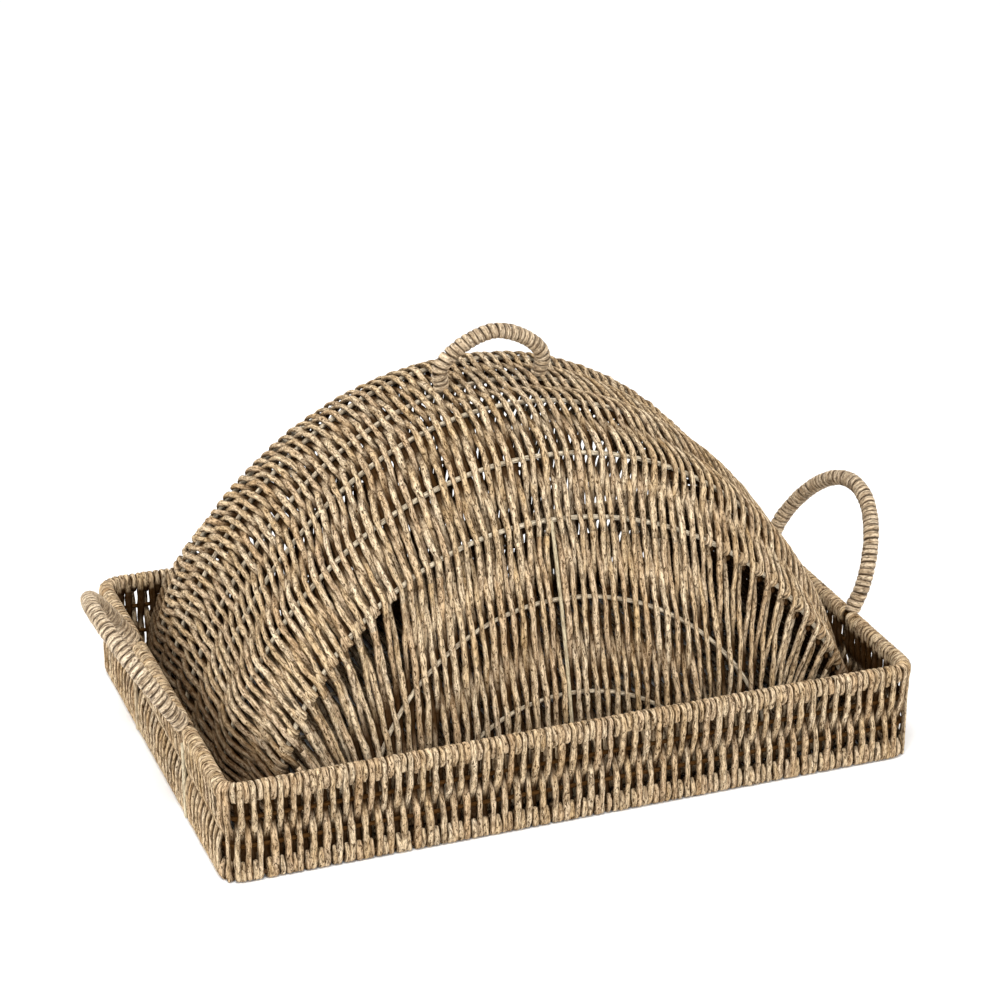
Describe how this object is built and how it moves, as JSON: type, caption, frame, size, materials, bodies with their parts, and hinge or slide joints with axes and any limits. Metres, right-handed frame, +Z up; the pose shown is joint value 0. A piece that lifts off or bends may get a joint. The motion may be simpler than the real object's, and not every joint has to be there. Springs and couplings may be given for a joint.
{
  "type": "lidded rattan basket",
  "caption": "Low rectangular rattan tray with a wrapped loop handle at each end and a domed, openly woven cover that lifts off by its own top handle.",
  "frame": {"origin": "middle of the tray's underside, which is the mount named underside", "axes": "+X along the tray's length towards its right handle, -Y to the front that the picture shows, +Z up"},
  "size_m": [0.5787, 0.3416, 0.2974],
  "materials": {
    "weave": "matt natural rattan strands, straw brown with dark flecks",
    "wire": "smooth pale cane rods",
    "winding": "smooth flat cane, pale straw",
    "core": "plain bent cane, hidden by its winding"
  },
  "bodies": {
    "tray": {"tray_rim_rod": "wire", "tray_upper_wire": "wire", "tray_lower_wire": "wire", "tray_base_rod": "wire", "tray_weave_front": "weave", "tray_weave_left": "weave", "tray_weave_back": "weave", "tray_weave_right": "weave", "corner_stake_front_right": "wire", "corner_stake_front_left": "wire", "corner_stake_back_left": "wire", "corner_stake_back_right": "wire", "handle_stake_left_front": "wire", "handle_stake_left_back": "wire", "handle_stake_right_front": "wire", "handle_stake_right_back": "wire", "tray_floor_weave_lower": "weave", "tray_floor_weave_upper": "weave", "tray_floor_rod_1": "wire", "tray_floor_rod_2": "wire", "tray_floor_rod_3": "wire", "tray_floor_rod_4": "wire", "tray_floor_rod_5": "wire", "handle_left_core": "core", "handle_left_winding": "winding", "handle_right_core": "core", "handle_right_winding": "winding"},
    "cover": {"cover_base_rod": "wire", "cover_ridge_arch_front": "wire", "cover_outer_arch_front": "wire", "cover_inner_arch_front": "wire", "cover_centre_arch": "wire", "cover_inner_arch_back": "wire", "cover_outer_arch_back": "wire", "cover_ridge_arch_back": "wire", "cover_upper_end_arch_front": "wire", "cover_lower_end_arch_front": "wire", "cover_stake_front": "wire", "cover_upper_end_arch_back": "wire", "cover_lower_end_arch_back": "wire", "cover_stake_back": "wire", "cover_crown_weave_outer": "weave", "cover_crown_weave_inner": "weave", "cover_front_weave_left": "weave", "cover_front_weave_right": "weave", "cover_front_weave_inner": "weave", "cover_back_weave_left": "weave", "cover_back_weave_right": "weave", "cover_back_weave_inner": "weave", "cover_handle_core": "core", "cover_handle_winding": "winding"}
  },
  "joints": [
    {"name": "cover_lift", "type": "slide", "parent": "tray", "child": "cover", "axis": [0, 0, 1], "range_m": [0, 0.2]}
  ]
}
